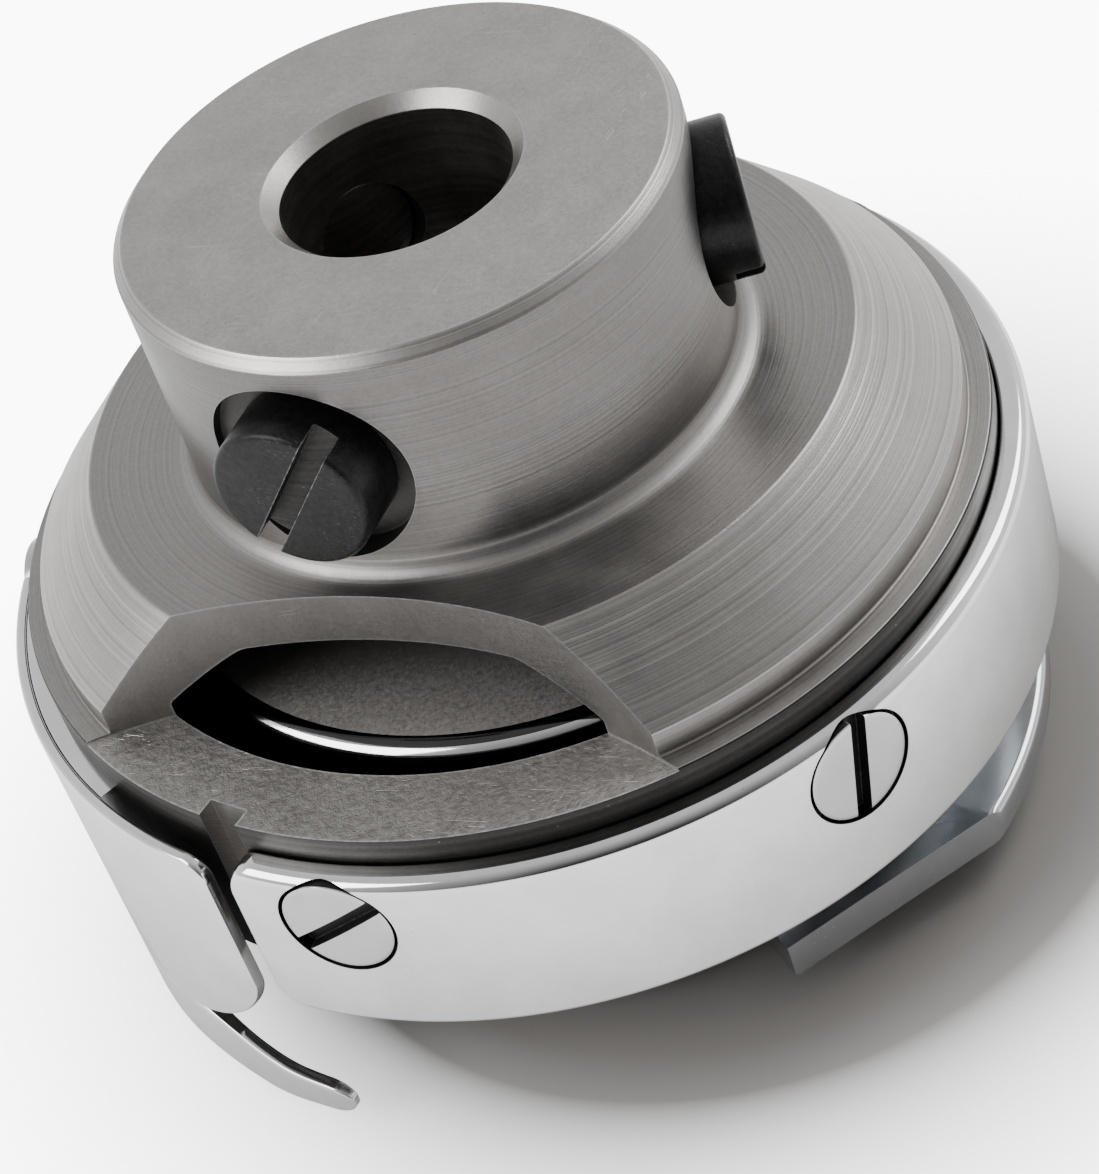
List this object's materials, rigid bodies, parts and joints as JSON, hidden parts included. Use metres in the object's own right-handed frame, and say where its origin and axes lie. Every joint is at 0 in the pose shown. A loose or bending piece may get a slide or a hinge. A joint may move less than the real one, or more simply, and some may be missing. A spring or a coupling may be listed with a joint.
{
  "type": "rotary sewing hook with bobbin case",
  "caption": "Rotary sewing hook with clamped shaft hub, polished race band, thin hook point, flanged case holder, latched bobbin case and bobbin.",
  "frame": {"origin": "on the hook's axis, at the bobbin case's front face, which is the surface the object stands on", "axes": "+Z along the hook's axis from the bobbin case's face towards the shaft hub; -Y faces the milled window and the throat slit's side"},
  "size_m": [0.037, 0.037, 0.0282],
  "materials": {
    "turned_steel": "fine turned",
    "polished_steel": "mirror polish",
    "black_oxide": "satin black oxide",
    "plated_steel": "bright zinc plate",
    "spring_steel": "bright rolled",
    "grey_steel": "ground"
  },
  "bodies": {
    "hook": {"hook_body": "turned_steel", "hub_screw_1": "black_oxide", "hub_screw_2": "black_oxide", "hub_screw_3": "black_oxide", "gib": "polished_steel", "gib_screw_1": "polished_steel", "gib_screw_2": "polished_steel", "gib_screw_3": "polished_steel", "guard_plate": "polished_steel", "plate_screw_1": "polished_steel", "plate_screw_2": "polished_steel"},
    "holder": {"bobbin_case_holder": "plated_steel", "centre_post": "grey_steel"},
    "case": {"case_body": "plated_steel", "tension_spring": "spring_steel", "spring_screw": "grey_steel", "latch_pin": "grey_steel", "latch_spring": "spring_steel", "brake_spring": "spring_steel"},
    "bobbin": {"bobbin_core": "plated_steel", "bobbin_flange_front": "plated_steel", "bobbin_flange_rear": "plated_steel"},
    "lever": {"latch_lever": "plated_steel"},
    "slide": {"latch_slide": "plated_steel"},
    "tension": {"tension_screw": "grey_steel"}
  },
  "joints": [
    {"name": "hook_turn", "type": "hinge", "parent": "hook", "child": "holder", "pos_m": [0, 0, 0.0092], "axis": [0, 0, 1], "continuous": true},
    {"name": "case_slide", "type": "slide", "parent": "holder", "child": "case", "axis": [0, 0, -1], "range_m": [0, 0.016]},
    {"name": "bobbin_spin", "type": "hinge", "parent": "case", "child": "bobbin", "pos_m": [0, 0, 0.0073], "axis": [0, 0, 1], "continuous": true},
    {"name": "lever_hinge", "type": "hinge", "parent": "case", "child": "lever", "pos_m": [0.0096, 0, 0.0006], "axis": [0, -1, 0], "range_deg": [0, 85], "stiffness_Nm_per_rad": 0.002, "springref_deg": -11.46},
    {"name": "slide_travel", "type": "slide", "parent": "case", "child": "slide", "axis": [1, 0, 0], "range_m": [0, 0.0015]},
    {"name": "tension_turn", "type": "hinge", "parent": "case", "child": "tension", "pos_m": [0.00535, 0.01007, 0.007], "axis": [0.4695, 0.8829, 0], "range_deg": [-180, 180]}
  ],
  "couplings": [
    {"joint": "lever_hinge", "follows": "slide_travel", "rad_per_m": 988.9}
  ]
}
